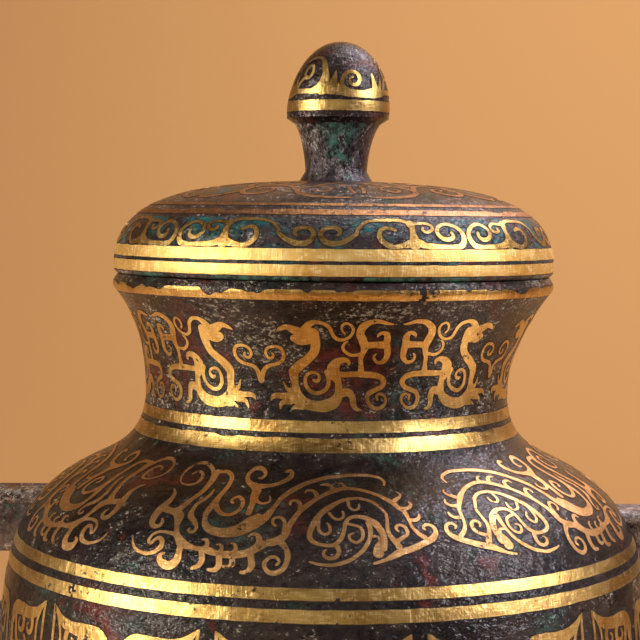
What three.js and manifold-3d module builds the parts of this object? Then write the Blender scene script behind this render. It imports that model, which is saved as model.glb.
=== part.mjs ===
// Lidded jar cast in bronze: a broad shoulder, a waisted neck, a domed lid with a bud knob and two loop handles.
// Millimetres, +Z up, with the origin at the centre of the foot's underside.
import * as THREE from 'three';
import { mergeVertices } from 'three/addons/utils/BufferGeometryUtils.js';
import Module from 'manifold-3d';

const wasm = await Module();
wasm.setup();

// Clearances
const seatGap = 0.3; // between pieces that rest on or are soldered to each other
const spigotClearance = 1; // between the lid's spigot and the mouth, all round

// Foot ring
const footHeight = 17;
const footRadius = 66;
const footEdgeHeight = 5; // the upright edge at its bottom
const footNeckRadius = 57; // where it meets the belly
const footWall = 6;

// Belly and shoulder
const bellyRise = 98.5; // from the foot ring up to the widest line
const bellyRadius = 97.5;
const shoulderRise = 57.1; // from the widest line up to the middle of the shoulder
const shoulderRadius = 70; // at that middle
const shoulderSlope = 24.7; // degrees below level at that middle
const floorThickness = 5;
const wall = 3.2;

// Neck, rim and mouth
const neckRise = 20.9; // from the middle of the shoulder up to the neck's waist
const neckRadius = 54.6; // at the waist
const flareRise = 29.2; // from the waist up to the rim
const flareSlope = 52.5; // degrees above level where the flare meets the rim
const rimRadius = 66;
const rimHeight = 5.3;
const rimTuck = 1.1; // how far the rim's rounded lip draws in above and below
const mouthRadius = 57;
const mouthDepth = 10; // the upright seat for the lid's spigot

// Lid
const lidRadius = 66.2;
const lidEdgeHeight = 2; // the rounded edge under the dome
const lidEdgeTuck = 1.2;
const domeHeight = 25.8; // from the edge up to the foot of the stem
const domeWall = 3;
const flangeThickness = 3;
const spigotDepth = 8;
const spigotWall = 3;

// Stem and knob
const stemFootRadius = 11;
const stemFootRise = 2.9;
const stemRadius = 9.3; // at its waist
const stemRise = 14.2; // from its waist up to the knob
const stemTopRadius = 12.9;
const knobRadius = 15.4;
const knobLipRise = 1.6; // the knob's bevelled underside
const knobBandRise = 2.2; // its upright lower edge
const knobCrownRise = 20.9;

// Handles
const armDrop = 22.2; // centre of the upper arm below the middle of the shoulder
const loopDrop = 35; // lowest point of the loop's centreline below the upper arm
const loopReach = 124; // from the jar's axis to the loop's outermost centreline
const loopWidth = 19; // from that outermost point back to where the upper arm runs straight
const loopBottomShift = 3; // how far outside the arm's straight end the loop's lowest point lies
const armRoot = 30; // how far inside the widest line the upper arm starts, before it is trimmed
const tailRoot = 14; // and how far inside it the loop's lower end stops
const tailRise = 15; // how far the lower end climbs again to meet the belly
const handleWidth = 15;
const armDepth = 20; // thickness of the upper arm where it leaves the shoulder
const loopDepth = 12.5; // thickness of the rest of the loop
const taperStart = 0.1; // shares of the loop's length between which it thins
const taperEnd = 0.45;
const sectionRound = 0.3; // share of a half side that its rounded corners take
const ridgeThickness = 4.6; // the raised strap along the outside of the loop
const ridgeOverhang = 1.3;

// Heights that follow from the sizes above
const bellyHeight = footHeight + bellyRise;
const shoulderHeight = bellyHeight + shoulderRise;
const neckHeight = shoulderHeight + neckRise;
const rimBase = neckHeight + flareRise;
const rimTop = rimBase + rimHeight;
const lidBase = rimTop + seatGap;
const spigotRadius = mouthRadius - spigotClearance;

const turnSteps = 48; // facets round the jar
const handleSteps = 26; // cross sections along a handle
const cornerMargin = 1; // points of the inside nearer than this to its corners are left out
const outsideSteps = [7, 8, 6, 5]; // points on the wall's stretches: lower belly, upper belly, shoulder, neck
const insideSteps = [5, 5, 4, 3];
const degrees = Math.PI / 180;

// A smooth stretch of profile that leaves its last point and arrives at the next at the given angles.
// The pulls are shares of the straight distance between the two.
function bend(path, to, leaveAngle, leavePull, arriveAngle, arrivePull) {
  const from = path.currentPoint;
  const reach = Math.hypot(to[0] - from.x, to[1] - from.y);
  const leave = leavePull * reach;
  const arrive = arrivePull * reach;
  path.bezierCurveTo(
    from.x + leave * Math.cos(leaveAngle * degrees), from.y + leave * Math.sin(leaveAngle * degrees),
    to[0] - arrive * Math.cos(arriveAngle * degrees), to[1] - arrive * Math.sin(arriveAngle * degrees),
    to[0], to[1]);
}

// Points of a path: a straight stretch keeps its ends, and curve number i gets steps[i] points.
function pathPoints(path, steps) {
  const points = [path.curves[0].getPoint(0)];
  path.curves.forEach((curve, i) => points.push(...curve.getPoints(steps[i]).slice(1)));
  return points;
}

// The same line moved sideways, to its left when the distance is positive.
function offsetLine(points, distance) {
  return points.map((point, i) => {
    const before = points[Math.max(i - 1, 0)];
    const after = points[Math.min(i + 1, points.length - 1)];
    const along = after.clone().sub(before).normalize();
    return new THREE.Vector2(point.x - along.y * distance, point.y + along.x * distance);
  });
}

// Radius of a line of points where it first passes a height.
function radiusAt(points, height) {
  const i = points.findIndex((point, k) => k > 0 && (point.y - height) * (points[k - 1].y - height) <= 0);
  const [a, b] = [points[i - 1], points[i]];
  return a.x + (b.x - a.x) * (height - a.y) / (b.y - a.y);
}

// One closed mesh with shared corners and no empty triangles.
function weld(geometry) {
  geometry.deleteAttribute('normal');
  geometry.deleteAttribute('uv');
  const merged = mergeVertices(geometry, 1e-4);
  const corners = merged.index.array;
  const kept = [];
  for (let i = 0; i < corners.length; i += 3) {
    const [a, b, c] = [corners[i], corners[i + 1], corners[i + 2]];
    if (a !== b && b !== c && c !== a) kept.push(a, b, c);
  }
  merged.setIndex(kept);
  return merged;
}

function revolve(profile) {
  const turned = new THREE.LatheGeometry(profile, turnSteps);
  turned.rotateX(Math.PI / 2);
  return weld(turned);
}

function toSolid(geometry) {
  return new wasm.Manifold(new wasm.Mesh({
    numProp: 3,
    vertProperties: Float32Array.from(geometry.attributes.position.array),
    triVerts: Uint32Array.from(geometry.index.array),
  }));
}

function fromSolid(solid) {
  const mesh = solid.getMesh();
  const geometry = new THREE.BufferGeometry();
  geometry.setAttribute('position', new THREE.BufferAttribute(mesh.vertProperties, 3));
  geometry.setIndex(new THREE.BufferAttribute(mesh.triVerts, 1));
  return geometry;
}

// Outside of the jar from the top of the foot ring to the underside of the rim.
function jarWallLine(steps) {
  const line = new THREE.Path();
  line.moveTo(footNeckRadius, footHeight);
  bend(line, [bellyRadius, bellyHeight], 50, 0.4, 90, 0.45);
  bend(line, [shoulderRadius, shoulderHeight], 90, 0.52, 180 - shoulderSlope, 0.38);
  bend(line, [neckRadius, neckHeight], 180 - shoulderSlope, 0.45, 90, 0.43);
  bend(line, [rimRadius - rimTuck, rimBase], 90, 0.33, flareSlope, 0.33);
  return pathPoints(line, steps);
}

// Outside of the foot ring, from its underside to the top.
function footLine() {
  const line = new THREE.Path();
  line.moveTo(footRadius, 0);
  line.lineTo(footRadius, footEdgeHeight);
  bend(line, [footNeckRadius, footHeight], 150, 0.4, 75, 0.4);
  return pathPoints(line, [1, 3]);
}

function rimLine() {
  const line = new THREE.Path();
  line.moveTo(rimRadius - rimTuck, rimBase);
  line.quadraticCurveTo(rimRadius + rimTuck, rimBase + rimHeight / 2, rimRadius - rimTuck, rimTop);
  return pathPoints(line, [4]);
}

function jarProfile() {
  const outside = jarWallLine(outsideSteps);
  const floorTop = footHeight + floorThickness;
  const seatBottom = rimTop - mouthDepth;
  const inside = offsetLine(jarWallLine(insideSteps), wall).reverse();
  return [
    new THREE.Vector2(0, footHeight),
    new THREE.Vector2(footNeckRadius - footWall, footHeight),
    new THREE.Vector2(footRadius - footWall, 0),
    ...footLine(),
    ...outside.slice(1),
    ...rimLine().slice(1),
    new THREE.Vector2(mouthRadius, rimTop),
    new THREE.Vector2(mouthRadius, seatBottom),
    ...inside.filter((point) => point.y < seatBottom - cornerMargin && point.y > floorTop + cornerMargin),
    new THREE.Vector2(radiusAt(inside, floorTop), floorTop),
    new THREE.Vector2(0, floorTop),
  ];
}

// Outside of the lid from its edge up to the top of the knob.
function lidOutside() {
  const edgeTop = lidBase + lidEdgeHeight;
  const stemFoot = edgeTop + domeHeight;
  const stemWaist = stemFoot + stemFootRise;
  const stemTop = stemWaist + stemRise;
  const knobEdge = stemTop + knobLipRise;
  const line = new THREE.Path();
  line.moveTo(lidRadius - lidEdgeTuck, lidBase);
  bend(line, [lidRadius, edgeTop], 20, 0.35, 90, 0.35);
  bend(line, [stemFootRadius, stemFoot], 90, 0.36, 177.3, 0.5);
  line.lineTo(stemRadius, stemWaist);
  bend(line, [stemTopRadius, stemTop], 88, 0.35, 50, 0.2);
  line.lineTo(knobRadius, knobEdge);
  line.lineTo(knobRadius, knobEdge + knobBandRise);
  bend(line, [0, knobEdge + knobBandRise + knobCrownRise], 90, 0.37, 180, 0.37);
  return pathPoints(line, [2, 8, 1, 3, 1, 1, 6]);
}

function lidProfile() {
  const outside = lidOutside();
  const flangeTop = lidBase + flangeThickness;
  const spigotBottom = lidBase - spigotDepth;
  const stemFoot = lidBase + lidEdgeHeight + domeHeight;
  const domeInside = offsetLine(outside, domeWall)
    .filter((point) => point.y > flangeTop && point.y < stemFoot - domeWall && point.x > stemFootRadius);
  return [
    new THREE.Vector2(0, stemFoot - domeWall),
    ...domeInside.reverse(),
    new THREE.Vector2(lidRadius - domeWall, flangeTop),
    new THREE.Vector2(spigotRadius - spigotWall, flangeTop),
    new THREE.Vector2(spigotRadius - spigotWall, spigotBottom),
    new THREE.Vector2(spigotRadius, spigotBottom),
    new THREE.Vector2(spigotRadius, lidBase),
    ...outside,
  ];
}

// Centreline of a handle in the plane of +X and +Z: out from the shoulder, down, and back up to the belly.
function handleLine() {
  const armHeight = shoulderHeight - armDrop;
  const loopBottom = armHeight - loopDrop;
  const armEnd = loopReach - loopWidth;
  const line = new THREE.Path();
  line.moveTo(bellyRadius - armRoot, armHeight);
  line.lineTo(armEnd, armHeight);
  bend(line, [loopReach, armHeight - loopDrop / 2], 0, 0.42, -90, 0.42);
  bend(line, [armEnd + loopBottomShift, loopBottom], -90, 0.42, 180, 0.36);
  bend(line, [bellyRadius - tailRoot, loopBottom + tailRise], 180, 0.42, 140, 0.3);
  return line;
}

// Cross section of a handle of that depth: sideways, and up towards the ridge on its outside.
function handleSection(depth) {
  const half = handleWidth / 2;
  const top = depth / 2;
  const ledge = top - ridgeThickness;
  const right = [
    [half * (1 - sectionRound), -top],
    [half, -top * (1 - sectionRound)],
    [half, ledge],
    [half + ridgeOverhang, ledge + ridgeOverhang],
    [half + ridgeOverhang, top - ridgeOverhang],
    [half * (1 - sectionRound), top],
  ];
  const left = right.map(([across, up]) => [-across, up]).reverse();
  return [...right, ...left];
}

function handleGeometry() {
  const line = handleLine();
  const corners = [];
  const triangles = [];
  const sides = handleSection(armDepth).length;
  for (let i = 0; i <= handleSteps; i += 1) {
    const u = i / handleSteps;
    const centre = line.getPointAt(u);
    const along = line.getTangentAt(u);
    const taper = THREE.MathUtils.smoothstep(u, taperStart, taperEnd);
    const depth = THREE.MathUtils.lerp(armDepth, loopDepth, taper);
    for (const [across, up] of handleSection(depth)) {
      corners.push(centre.x - along.y * up, -across, centre.y + along.x * up);
    }
  }
  for (let i = 0; i < handleSteps; i += 1) {
    for (let k = 0; k < sides; k += 1) {
      const a = i * sides + k;
      const b = i * sides + (k + 1) % sides;
      triangles.push(a, a + sides, b, b, a + sides, b + sides);
    }
  }
  for (let k = 1; k < sides - 1; k += 1) {
    const last = handleSteps * sides;
    triangles.push(0, k, k + 1, last, last + k + 1, last + k);
  }
  const geometry = new THREE.BufferGeometry();
  geometry.setAttribute('position', new THREE.Float32BufferAttribute(corners, 3));
  geometry.setIndex(triangles);
  return geometry;
}

// A handle, trimmed where it meets the jar.
function trimmedHandle() {
  const outside = offsetLine(jarWallLine(outsideSteps), -seatGap);
  const jar = toSolid(revolve([
    new THREE.Vector2(0, outside[0].y),
    ...outside,
    new THREE.Vector2(0, outside[outside.length - 1].y),
  ]));
  const pieces = toSolid(handleGeometry()).subtract(jar).decompose();
  pieces.sort((a, b) => b.volume() - a.volume());
  return fromSolid(pieces[0]);
}

const bronze = new THREE.MeshStandardMaterial({ color: 0x3a3134, roughness: 0.45, metalness: 0.85 });
const lidBronze = new THREE.MeshStandardMaterial({ color: 0x34403c, roughness: 0.5, metalness: 0.8 });
const handleBronze = new THREE.MeshStandardMaterial({ color: 0x4a4543, roughness: 0.6, metalness: 0.75 });

function addMesh(name, geometry, material, turn = 0) {
  const mesh = new THREE.Mesh(geometry, material);
  mesh.name = name;
  mesh.rotation.z = turn;
  group.add(mesh);
}

const group = new THREE.Group();
addMesh('jar_body', revolve(jarProfile()), bronze);
addMesh('lid', revolve(lidProfile()), lidBronze);
addMesh('handle_right', trimmedHandle(), handleBronze);
addMesh('handle_left', trimmedHandle(), handleBronze, Math.PI);

export default group;
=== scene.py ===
import math

import bpy
from mathutils import Matrix, Vector, noise
from mathutils.geometry import delaunay_2d_cdt


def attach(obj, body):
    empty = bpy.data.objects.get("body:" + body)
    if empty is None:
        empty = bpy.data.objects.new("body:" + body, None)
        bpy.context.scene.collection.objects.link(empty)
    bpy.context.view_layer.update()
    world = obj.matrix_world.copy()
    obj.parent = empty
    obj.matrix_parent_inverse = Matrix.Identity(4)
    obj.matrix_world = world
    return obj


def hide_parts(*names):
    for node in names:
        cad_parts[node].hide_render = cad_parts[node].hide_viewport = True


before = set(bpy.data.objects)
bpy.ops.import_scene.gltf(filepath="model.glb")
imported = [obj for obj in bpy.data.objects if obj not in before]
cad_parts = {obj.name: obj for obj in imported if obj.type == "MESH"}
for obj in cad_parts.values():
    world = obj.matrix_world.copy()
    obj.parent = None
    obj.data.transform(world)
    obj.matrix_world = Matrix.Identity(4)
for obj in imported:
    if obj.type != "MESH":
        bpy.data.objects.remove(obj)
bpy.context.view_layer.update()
print("frame loaded")

mm = 0.001
turn = 2 * math.pi

# The inlay's wobble starts from this number. Without it, it would start from the time of day
noise.seed_set(7)

# The jar's own sizes, in millimetres, with the origin under the middle of the foot
jarShape = {
    "footHeight": 17,
    "footRadius": 66,
    "footEdge": 5,
    "footNeck": 57,
    "footWall": 6,
    "bellyRadius": 97.5,
    "bellyHeight": 115.5,
    "shoulderRadius": 70,
    "shoulderHeight": 172.6,
    "shoulderSlope": 24.7,  # degrees below level
    "neckRadius": 54.6,
    "neckHeight": 193.5,
    "flareSlope": 52.5,  # degrees above level, under the rim
    "rimRadius": 66,
    "rimTuck": 1.1,
    "rimBase": 222.7,
    "rimTop": 228,
    "mouthRadius": 57,
    "mouthDepth": 10,
    "wall": 3.2,
    "floor": 5,
    "floorInset": 2,  # how far the floor's rim lies inside the wall's last point
    "steps": 240,  # facets round the jar
    # points along the lower wall, the shoulder, the neck and the flare
    "outsideSteps": (26, 34, 24, 20),
    "insideSteps": (10, 12, 8, 6),
    "stripSteps": (60, 80, 60, 50),
    "edgeSteps": 10,
}

lidShape = {
    "base": 228.3,
    "radius": 66.2,
    "edgeHeight": 2,
    "edgeTuck": 1.2,
    "domeHeight": 25.8,
    "domeWall": 3,
    "flange": 3,
    "spigotDepth": 8,
    "spigotWall": 3,
    "spigotRadius": 56,
    "stemFoot": 11,
    "stemFootRise": 2.9,
    "stemRadius": 9.3,
    "stemRise": 14.2,
    "stemTop": 12.9,
    "knobRadius": 15.4,
    "knobLip": 1.6,
    "knobBand": 2.2,
    "knobCrown": 20.9,
    "steps": 208,
    "edgeSteps": 6,  # points along the curves
    "domeSteps": 44,
    "stemSteps": 14,
    "knobSteps": 30,
}

handleShape = {
    "armHeight": 150.4,
    "root": 67.5,  # from the jar's axis to the arm's inner end
    "armEnd": 105,
    "reach": 124,
    "drop": 35,
    "lowest": 108,
    "tail": 83.5,
    "tailRise": 15,
    "width": 15,
    "armDepth": 20,
    "loopDepth": 12.5,
    "ridge": 4.6,
    "ridgeOverhang": 1.3,
    "taperStart": 0.1,  # shares of the loop's length between which it thins
    "taperLength": 0.35,
    "steps": (11, 22, 20, 18),  # along the arm, the outer bend, the lower bend and the tail
    "unevenness": 2.2,  # how much higher the left one is soldered on, and lower the right one
}

# The old casting isn't quite true: from the neck up it leans to the right, and so do its lid and knob.
# Each entry is a height and the shift across at that height
castLean = ((194, 0), (222, 1.65), (240, 1.75), (262, 2.2), (298, 3.3))

# Heights in the ornament are counted from the joint between the jar and the lid's gold edge
jointHeight = 229.5

# Edges sharper than these many degrees stay sharp
sharpness = {"turned": 35, "handle": 60, "inlay": 40, "stage": 60}


def leanAt(z):
    if z <= castLean[0][0]:
        return 0
    for (low, before), (high, after) in zip(castLean, castLean[1:]):
        if z <= high:
            share = (z - low) / (high - low)
            return before + (after - before) * share * share * (3 - 2 * share)
    return castLean[-1][1]


def leanPiece(piece):
    for vertex in piece.data.vertices:
        vertex.co.x += leanAt(vertex.co.z / mm) * mm


def deselectAll():
    if bpy.context.object and bpy.context.object.mode != "OBJECT":
        bpy.ops.object.mode_set(mode="OBJECT")
    bpy.ops.object.select_all(action="DESELECT")


def makeActive(piece):
    deselectAll()
    piece.select_set(True)
    bpy.context.view_layer.objects.active = piece


def editAll(piece):
    makeActive(piece)
    bpy.ops.object.mode_set(mode="EDIT")
    bpy.ops.mesh.select_all(action="SELECT")


def makePiece(name, corners, faces):
    mesh = bpy.data.meshes.new(name)
    mesh.from_pydata(corners, [], faces)
    piece = bpy.data.objects.new(name, mesh)
    bpy.context.scene.collection.objects.link(piece)
    return piece


# A smooth stretch of outline: it leaves the last point and arrives at the next at the given angles,
# and the pulls are shares of the straight distance between the two
def bend(line, to, leave, leavePull, arrive, arrivePull, steps):
    start = line[-1]
    reach = math.dist(start, to)
    a = (start[0] + leavePull * reach * math.cos(math.radians(leave)),
         start[1] + leavePull * reach * math.sin(math.radians(leave)))
    b = (to[0] - arrivePull * reach * math.cos(math.radians(arrive)),
         to[1] - arrivePull * reach * math.sin(math.radians(arrive)))
    for i in range(1, steps + 1):
        t = i / steps
        s = 1 - t
        line.append(tuple(s ** 3 * p + 3 * s * s * t * q + 3 * s * t * t * r + t ** 3 * w
                          for p, q, r, w in zip(start, a, b, to)))


# The same outline moved sideways, to its left when the distance is positive
def offsetLine(line, distance):
    moved = []
    for i, point in enumerate(line):
        before = line[max(i - 1, 0)]
        after = line[min(i + 1, len(line) - 1)]
        dx = after[0] - before[0]
        dy = after[1] - before[1]
        length = math.hypot(dx, dy)
        moved.append((point[0] - dy / length * distance, point[1] + dx / length * distance))
    return moved


def wallLine(steps):
    j = jarShape
    line = [(j["footNeck"], j["footHeight"])]
    bend(line, (j["bellyRadius"], j["bellyHeight"]), 50, 0.4, 90, 0.45, steps[0])
    inward = 180 - j["shoulderSlope"]
    bend(line, (j["shoulderRadius"], j["shoulderHeight"]), 90, 0.52, inward, 0.38, steps[1])
    bend(line, (j["neckRadius"], j["neckHeight"]), inward, 0.45, 90, 0.43, steps[2])
    bend(line, (j["rimRadius"] - j["rimTuck"], j["rimBase"]), 90, 0.33, j["flareSlope"], 0.33, steps[3])
    return line


def footLine():
    j = jarShape
    line = [(j["footRadius"], 0), (j["footRadius"], j["footEdge"])]
    bend(line, (j["footNeck"], j["footHeight"]), 150, 0.4, 75, 0.4, j["edgeSteps"])
    return line


def rimLine():
    j = jarShape
    line = [(j["rimRadius"] - j["rimTuck"], j["rimBase"])]
    bend(line, (j["rimRadius"] - j["rimTuck"], j["rimTop"]), 50, 0.5, 130, 0.5, j["edgeSteps"])
    return line


def jarOutline():
    j = jarShape
    floorTop = j["footHeight"] + j["floor"]
    seat = j["rimTop"] - j["mouthDepth"]
    inside = [p for p in reversed(offsetLine(wallLine(j["insideSteps"]), j["wall"]))
              if floorTop + 1 < p[1] < seat - 1]
    return [
        (0, j["footHeight"]),
        (j["footNeck"] - j["footWall"], j["footHeight"]),
        (j["footRadius"] - j["footWall"], 0),
        *footLine(),
        *wallLine(j["outsideSteps"])[1:],
        *rimLine()[1:],
        (j["mouthRadius"], j["rimTop"]),
        (j["mouthRadius"], seat),
        *inside,
        (inside[-1][0] - j["floorInset"], floorTop),
        (0, floorTop),
    ]


# Outside of the lid's disc, from its edge to the foot of the stem
def domeLine():
    d = lidShape
    line = [(d["radius"] - d["edgeTuck"], d["base"])]
    bend(line, (d["radius"], d["base"] + d["edgeHeight"]), 20, 0.35, 90, 0.35, d["edgeSteps"])
    top = (d["stemFoot"], d["base"] + d["edgeHeight"] + d["domeHeight"])
    bend(line, top, 90, 0.36, 177.3, 0.5, d["domeSteps"])
    return line


# Stem and knob, up to the knob's top
def stemLine():
    d = lidShape
    waist = d["base"] + d["edgeHeight"] + d["domeHeight"] + d["stemFootRise"]
    line = [(d["stemRadius"], waist)]
    bend(line, (d["stemTop"], waist + d["stemRise"]), 88, 0.35, 50, 0.2, d["stemSteps"])
    return line


def knobLine():
    d = lidShape
    top = stemLine()[-1][1]
    edge = top + d["knobLip"]
    line = [(d["stemTop"], top), (d["knobRadius"], edge), (d["knobRadius"], edge + d["knobBand"])]
    bend(line, (0, edge + d["knobBand"] + d["knobCrown"]), 90, 0.37, 180, 0.37, d["knobSteps"])
    return line


def lidOutline():
    d = lidShape
    flangeTop = d["base"] + d["flange"]
    stemFoot = d["base"] + d["edgeHeight"] + d["domeHeight"]
    dome = domeLine()
    inside = [p for p in offsetLine(dome, d["domeWall"])
              if flangeTop < p[1] < stemFoot - d["domeWall"] and p[0] > d["stemFoot"]]
    return [
        (0, stemFoot - d["domeWall"]),
        *reversed(inside[::3]),
        (d["radius"] - d["domeWall"], flangeTop),
        (d["spigotRadius"] - d["spigotWall"], flangeTop),
        (d["spigotRadius"] - d["spigotWall"], d["base"] - d["spigotDepth"]),
        (d["spigotRadius"], d["base"] - d["spigotDepth"]),
        (d["spigotRadius"], d["base"]),
        *dome,
        *stemLine(),
        *knobLine()[1:],
    ]


# An outline in the plane of X and Z: a plane merged to one point, then extruded from point to point
def drawLine(name, line):
    deselectAll()
    bpy.ops.mesh.primitive_plane_add(size=mm)
    piece = bpy.context.active_object
    piece.name = name
    bpy.ops.object.mode_set(mode="EDIT")
    bpy.ops.mesh.select_all(action="SELECT")
    bpy.ops.mesh.merge(type="CENTER")
    bpy.ops.transform.translate(value=(line[0][0] * mm, 0, line[0][1] * mm))
    for before, after in zip(line, line[1:]):
        step = ((after[0] - before[0]) * mm, 0, (after[1] - before[1]) * mm)
        bpy.ops.mesh.extrude_vertices_move(TRANSFORM_OT_translate={"value": step})
    return piece


def spinLine(name, line, steps):
    piece = drawLine(name, line)
    bpy.ops.mesh.select_all(action="SELECT")
    bpy.ops.mesh.spin(steps=steps, angle=turn, center=(0, 0, 0), axis=(0, 0, 1))
    bpy.ops.mesh.select_all(action="SELECT")
    bpy.ops.mesh.remove_doubles(threshold=1e-6)
    bpy.ops.mesh.normals_make_consistent(inside=False)
    bpy.ops.object.mode_set(mode="OBJECT")
    return piece


def applyModifier(piece, kind, **values):
    makeActive(piece)
    modifier = piece.modifiers.new(kind.title(), kind)
    for key, value in values.items():
        setattr(modifier, key, value)
    bpy.ops.object.modifier_apply(modifier=modifier.name)


def smoothByAngle(piece, degrees):
    makeActive(piece)
    bpy.ops.object.shade_smooth_by_angle(angle=math.radians(degrees))


# Node helpers
def newMaterial(name):
    material = bpy.data.materials.new(name)
    material.use_nodes = True
    return material


def link(material, fromNode, fromSocket, toNode, toSocket):
    material.node_tree.links.new(fromNode.outputs[fromSocket], toNode.inputs[toSocket])


def addNode(material, kind, **values):
    node = material.node_tree.nodes.new(kind)
    for key, value in values.items():
        setattr(node, key, value)
    return node


def addNoise(material, place, scale, detail, rough=0.55, distortion=0.0):
    node = addNode(material, "ShaderNodeTexNoise")
    node.inputs["Scale"].default_value = scale
    node.inputs["Detail"].default_value = detail
    node.inputs["Roughness"].default_value = rough
    node.inputs["Distortion"].default_value = distortion
    link(material, place, 0, node, "Vector")
    return node


# A texture place in the piece's own space, moved or stretched by the given values
def addPlace(material, **values):
    node = addNode(material, "ShaderNodeMapping")
    for key, value in values.items():
        node.inputs[key].default_value = value
    link(material, addNode(material, "ShaderNodeTexCoord"), "Object", node, "Vector")
    return node


def addRamp(material, source, stops):
    node = addNode(material, "ShaderNodeValToRGB")
    ramp = node.color_ramp
    while len(ramp.elements) < len(stops):
        ramp.elements.new(0.5)
    for element, (position, color) in zip(ramp.elements, stops):
        element.position = position
        element.color = (*color, 1)
    link(material, source, 0, node, 0)
    return node


# From the least to the most between two values of the source
def addMask(material, source, low, high, least=0, most=1, socket=0):
    node = addNode(material, "ShaderNodeMapRange")
    for key, value in (("From Min", low), ("From Max", high), ("To Min", least), ("To Max", most)):
        node.inputs[key].default_value = value
    link(material, source, socket, node, "Value")
    return node


def addMath(material, kind, a, b):
    node = addNode(material, "ShaderNodeMath", operation=kind)
    for i, value in enumerate((a, b)):
        if isinstance(value, (int, float)):
            node.inputs[i].default_value = value
        else:
            link(material, value, 0, node, i)
    return node


# A mix node keeps its colours in sockets of their own, behind those for numbers and vectors
mixSockets = {"first": 6, "second": 7, "result": 2}


def mixColor(material, factor, a, b):
    node = addNode(material, "ShaderNodeMix", data_type="RGBA")
    link(material, factor, 0, node, 0)
    for socket, value in ((mixSockets["first"], a), (mixSockets["second"], b)):
        if isinstance(value, tuple):
            node.inputs[socket].default_value = (*value, 1)
        else:
            output = mixSockets["result"] if value.bl_idname == "ShaderNodeMix" else 0
            link(material, value, output, node, socket)
    return node


def addBump(material, height, strength, depth, socket):
    node = addNode(material, "ShaderNodeBump")
    node.inputs["Strength"].default_value = strength
    node.inputs["Distance"].default_value = depth
    link(material, height, 0, node, "Height")
    link(material, node, 0, material.node_tree.nodes["Principled BSDF"], socket)


def setShader(material, **values):
    for key, value in values.items():
        material.node_tree.nodes["Principled BSDF"].inputs[key.replace("_", " ")].default_value = value


def dimmed(tone, share):
    return tuple(part * share for part in tone)


# For each finish the stretch of its finer texture, its colours, from which value of the noise the ash, the
# green and the red begin (the higher, the rarer), and how rough its smoothest spots are
bronzeFinishes = {
    "bronzeBody": {
        "streak": (0.82, 0.82, 1.45),
        "dark": (0.004, 0.003, 0.004),
        "warm": (0.026, 0.014, 0.012),
        "film": (0.070, 0.056, 0.044),
        "ash": (0.44, 0.41, 0.33),
        "green": (0.025, 0.080, 0.060),
        "red": (0.105, 0.014, 0.009),
        "ashShare": 0.53,
        "paleNeck": 0.12,
        "greenShare": 0.58,
        "redShare": 0.59,
        "gloss": 0.20,
    },
    "bronzeLid": {
        "streak": (0.85, 0.85, 1.35),
        "dark": (0.004, 0.003, 0.005),
        "warm": (0.030, 0.018, 0.020),
        "film": (0.075, 0.062, 0.060),
        "ash": (0.34, 0.33, 0.30),
        "green": (0.006, 0.160, 0.165),
        "red": (0.10, 0.018, 0.010),
        "ashShare": 0.50,
        "greenShare": 0.50,
        "redShare": 0.60,
        "gloss": 0.18,
    },
    "bronzeDome": {
        "streak": (1, 1, 1),
        "dark": (0.006, 0.004, 0.004),
        "warm": (0.040, 0.022, 0.018),
        "film": (0.085, 0.062, 0.056),
        "ash": (0.40, 0.34, 0.30),
        "green": (0.030, 0.115, 0.105),
        "red": (0.13, 0.035, 0.020),
        "ashShare": 0.45,
        "greenShare": 0.60,
        "redShare": 0.58,
        "gloss": 0.26,
    },
    "bronzeStem": {
        "streak": (1.3, 1.3, 0.75),
        "shift": (0.067, 0.043, 0.040),
        "dark": (0.004, 0.004, 0.005),
        "warm": (0.040, 0.022, 0.026),
        # the pale mauve film, in streaks that run up the stem, is partly patina and partly painted highlight
        "film": (0.210, 0.160, 0.175),
        "ash": (0.52, 0.49, 0.46),
        "green": (0.075, 0.260, 0.205),
        "red": (0.11, 0.024, 0.016),
        "ashShare": 0.47,
        "greenShare": 0.485,
        "redShare": 0.60,
        "gloss": 0.20,
    },
    "bronzeKnob": {
        "streak": (1, 1, 1),
        "dark": (0.006, 0.003, 0.004),
        "warm": (0.028, 0.012, 0.011),
        "film": (0.045, 0.032, 0.034),
        "ash": (0.40, 0.36, 0.36),
        "green": (0.030, 0.085, 0.070),
        "red": (0.110, 0.032, 0.016),
        "ashShare": 0.52,
        "greenShare": 0.66,
        "redShare": 0.53,
        "gloss": 0.16,
        "polish": 0.10,
    },
    "bronzeHandle": {
        "streak": (1, 1, 1),
        "dark": (0.016, 0.010, 0.010),
        "warm": (0.155, 0.104, 0.090),
        "film": (0.360, 0.290, 0.270),
        "ash": (0.66, 0.58, 0.54),
        "green": (0.07, 0.13, 0.10),
        "red": (0.16, 0.035, 0.020),
        "ashShare": 0.42,
        "greenShare": 0.56,
        "redShare": 0.56,
        "gloss": 0.32,
    },
}


# What all the bronze finishes share
patina = {
    "mottling": 52,  # noise scales, the larger the finer
    "clusters": 58,
    "greenAreas": 38,
    "redAreas": 36,
    "speckle": 440,
    "grain": 1150,
    "ripples": 330,
    "aside": (0.31, 0.17, 0.23),  # where the second set of patches is taken from
    "neckHeights": (0.178, 0.192),  # metres between which the paler neck begins
    "ashLimit": 0.645,
    "ashGain": 0.13,  # how much sooner a speck shows inside a cluster
    "metal": 0.45,
    "dulling": 0.26,
    "bumpDepth": 0.0006,
    "rippleDepth": 0.0011,
    "coat": 0.42,
    "polish": 0.17,
}


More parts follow.
